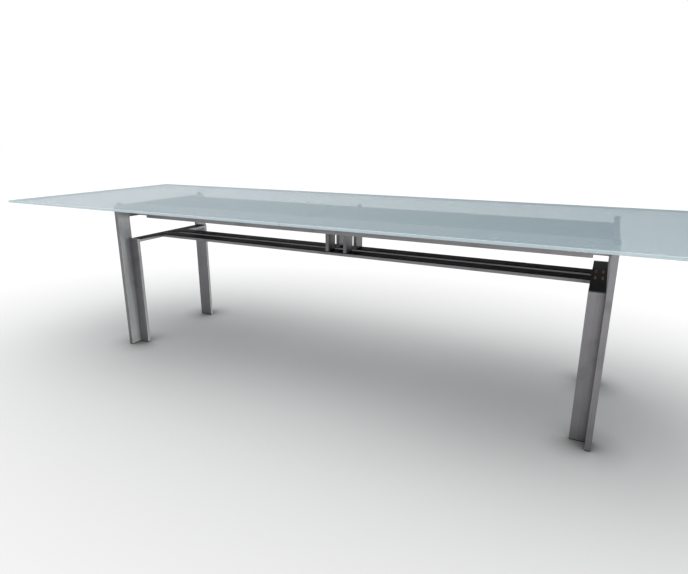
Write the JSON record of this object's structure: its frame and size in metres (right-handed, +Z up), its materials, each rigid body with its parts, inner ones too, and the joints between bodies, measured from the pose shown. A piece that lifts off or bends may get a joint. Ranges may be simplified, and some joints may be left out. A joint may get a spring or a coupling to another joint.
{
  "type": "extendable dining table",
  "caption": "Long glass dining table on a steel frame of angle-shaped legs, a hollow beam and twin lower rails; the halves draw apart on runners to make it longer.",
  "frame": {"origin": "on the floor, at the middle of the closed table", "axes": "+X along the table's length, -Y towards its front, +Z up"},
  "size_m": [3.066, 1.016, 0.72],
  "materials": {
    "glass": "polished, pale blue-grey",
    "steel": "satin, brushed lengthwise",
    "inner_steel": "plain rolled, lightly oiled",
    "black_steel": "blackened, satin",
    "copper_screws": "polished copper plate",
    "rubber": "matt black",
    "nylon": "natural, smooth"
  },
  "bodies": {
    "centre_unit": {"centre_top_plate": "black_steel", "centre_front_side_rail": "steel", "centre_back_side_rail": "steel", "left_bulkhead": "inner_steel", "right_bulkhead": "inner_steel", "front_runner": "inner_steel", "back_runner": "inner_steel", "runner_end_glides": "nylon", "runner_stops": "inner_steel", "left_front_post": "steel", "left_back_post": "steel", "right_front_post": "steel", "right_back_post": "steel", "front_centre_sleeve": "steel", "back_centre_sleeve": "steel", "front_inner_bar": "inner_steel", "back_inner_bar": "inner_steel", "centre_sleeve_covers": "black_steel", "centre_screws": "copper_screws", "centre_pads": "rubber"},
    "left_half": {"left_glass": "glass", "left_top_plate": "black_steel", "left_front_side_rail": "steel", "left_back_side_rail": "steel", "left_cross_block": "inner_steel", "left_glide_blocks": "nylon", "left_end_plate": "steel", "left_front_leg_side": "steel", "left_back_leg_side": "steel", "left_front_leg_face": "steel", "left_back_leg_face": "steel", "left_feet": "rubber", "left_crossbar": "steel", "left_crossbar_cover": "black_steel", "left_front_lower_rail": "steel", "left_back_lower_rail": "steel", "left_rail_covers": "black_steel", "left_screws": "copper_screws", "left_pads": "rubber"},
    "right_half": {"right_glass": "glass", "right_top_plate": "black_steel", "right_front_side_rail": "steel", "right_back_side_rail": "steel", "right_cross_block": "inner_steel", "right_glide_blocks": "nylon", "right_end_plate": "steel", "right_front_leg_side": "steel", "right_back_leg_side": "steel", "right_front_leg_face": "steel", "right_back_leg_face": "steel", "right_feet": "rubber", "right_crossbar": "steel", "right_crossbar_cover": "black_steel", "right_front_lower_rail": "steel", "right_back_lower_rail": "steel", "right_rail_covers": "black_steel", "right_screws": "copper_screws", "right_pads": "rubber"}
  },
  "joints": [
    {"name": "left_slide", "type": "slide", "parent": "centre_unit", "child": "left_half", "axis": [-1, 0, 0], "range_m": [0, 0.25]},
    {"name": "right_slide", "type": "slide", "parent": "centre_unit", "child": "right_half", "axis": [1, 0, 0], "range_m": [0, 0.25]}
  ]
}
